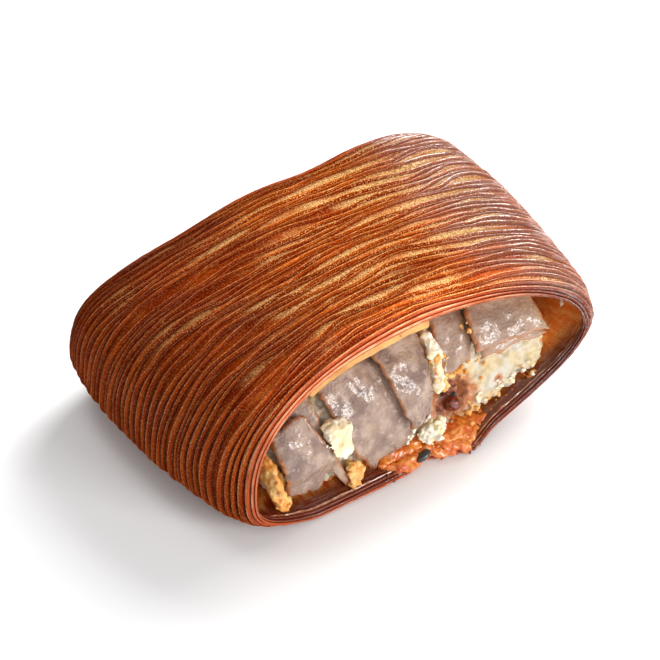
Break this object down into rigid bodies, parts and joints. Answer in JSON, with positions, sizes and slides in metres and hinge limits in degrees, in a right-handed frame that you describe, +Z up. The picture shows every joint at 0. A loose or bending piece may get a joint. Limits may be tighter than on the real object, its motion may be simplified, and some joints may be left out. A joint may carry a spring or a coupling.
{
  "type": "savoury danish pastry",
  "caption": "Savoury danish pastry: a flattened tube of flaky laminated dough, open at both ends, wrapped round soft cheese, draped slices of cured meat and sauce.",
  "frame": {"origin": "on the resting surface, under the middle of the pastry's box", "axes": "+X along the mouth, from the left end to the right end as seen from the front; +Y from the front mouth to the back mouth; +Z up"},
  "size_m": [0.1196, 0.0758, 0.0493],
  "materials": {
    "crust": "baked laminated dough, red-brown ridges over golden layers, a thin glaze",
    "meat": "moist sliced cured meat, grey-mauve",
    "white_cheese": "soft crumbly white cheese with toasted spots",
    "toasted_cheese": "toasted cheese, golden orange",
    "yellow_cheese": "smooth yellow cheese",
    "sauce": "wet orange-red sauce",
    "seed": "black seed and burnt flakes"
  },
  "bodies": {
    "root": {"pastry_wrap": "crust", "meat_slice_1": "meat", "meat_slice_2": "meat", "meat_slice_3": "meat", "meat_slice_4": "meat", "meat_slice_5": "meat", "meat_slice_6": "meat", "meat_slice_7": "meat", "cheese_lump_left": "white_cheese", "cheese_lump_middle": "toasted_cheese", "cheese_lump_top": "white_cheese", "cheese_lump_low": "white_cheese", "cheese_strip_left": "toasted_cheese", "cheese_heap": "white_cheese", "sauce_bed": "sauce", "yellow_cheese_slice": "yellow_cheese"}
  },
  "joints": []
}
